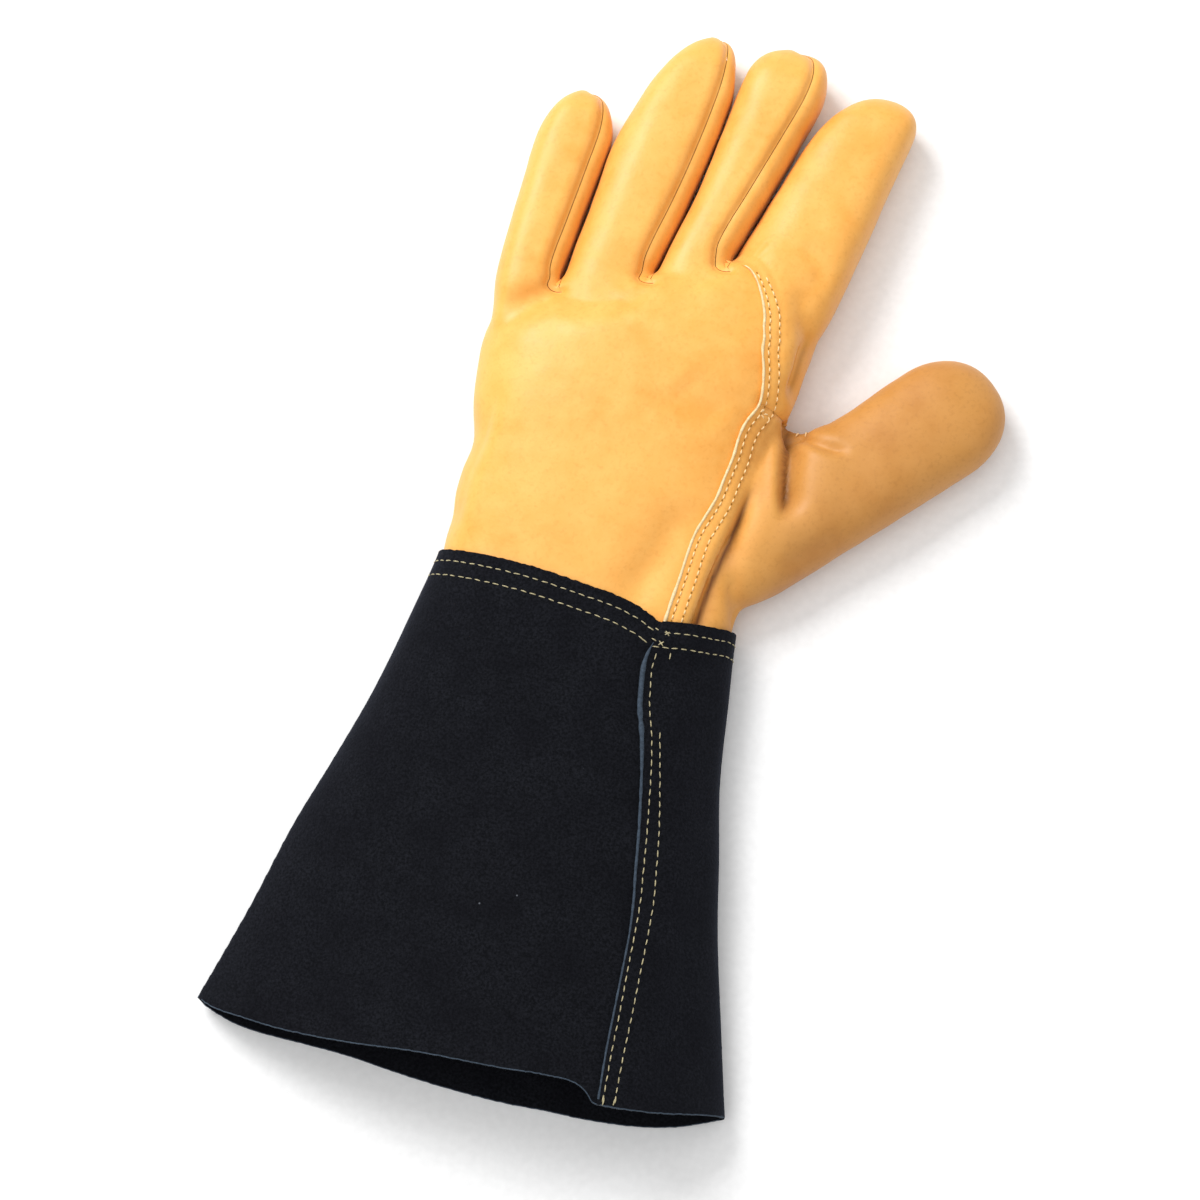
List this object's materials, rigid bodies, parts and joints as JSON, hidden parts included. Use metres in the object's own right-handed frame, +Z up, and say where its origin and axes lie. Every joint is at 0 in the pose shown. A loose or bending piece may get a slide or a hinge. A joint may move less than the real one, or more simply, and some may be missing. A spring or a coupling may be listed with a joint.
{
  "type": "pruning gauntlet",
  "caption": "Long leather work glove with a flared suede gauntlet cuff, lying palm down, hollow and open at the cuff so that a hand and forearm go in.",
  "frame": {"origin": "on the surface that the glove lies on, under the middle of its overall length and breadth", "axes": "+Y from the cuff's mouth to the fingertips, +X towards the thumb, +Z up, out of the back of the hand"},
  "size_m": [0.2248, 0.3984, 0.0424],
  "materials": {
    "grain_leather": "smooth golden tan grain leather, soft sheen",
    "thumb_leather": "smooth tan grain leather, a little darker and duller",
    "suede": "near-black navy suede, matte nap"
  },
  "bodies": {
    "root": {"back_panel": "grain_leather", "palm_panel": "grain_leather", "fourchette_little_ring": "grain_leather", "fourchette_ring_middle": "grain_leather", "fourchette_middle_index": "grain_leather", "thumb_panel": "thumb_leather", "cuff": "suede"}
  },
  "joints": []
}
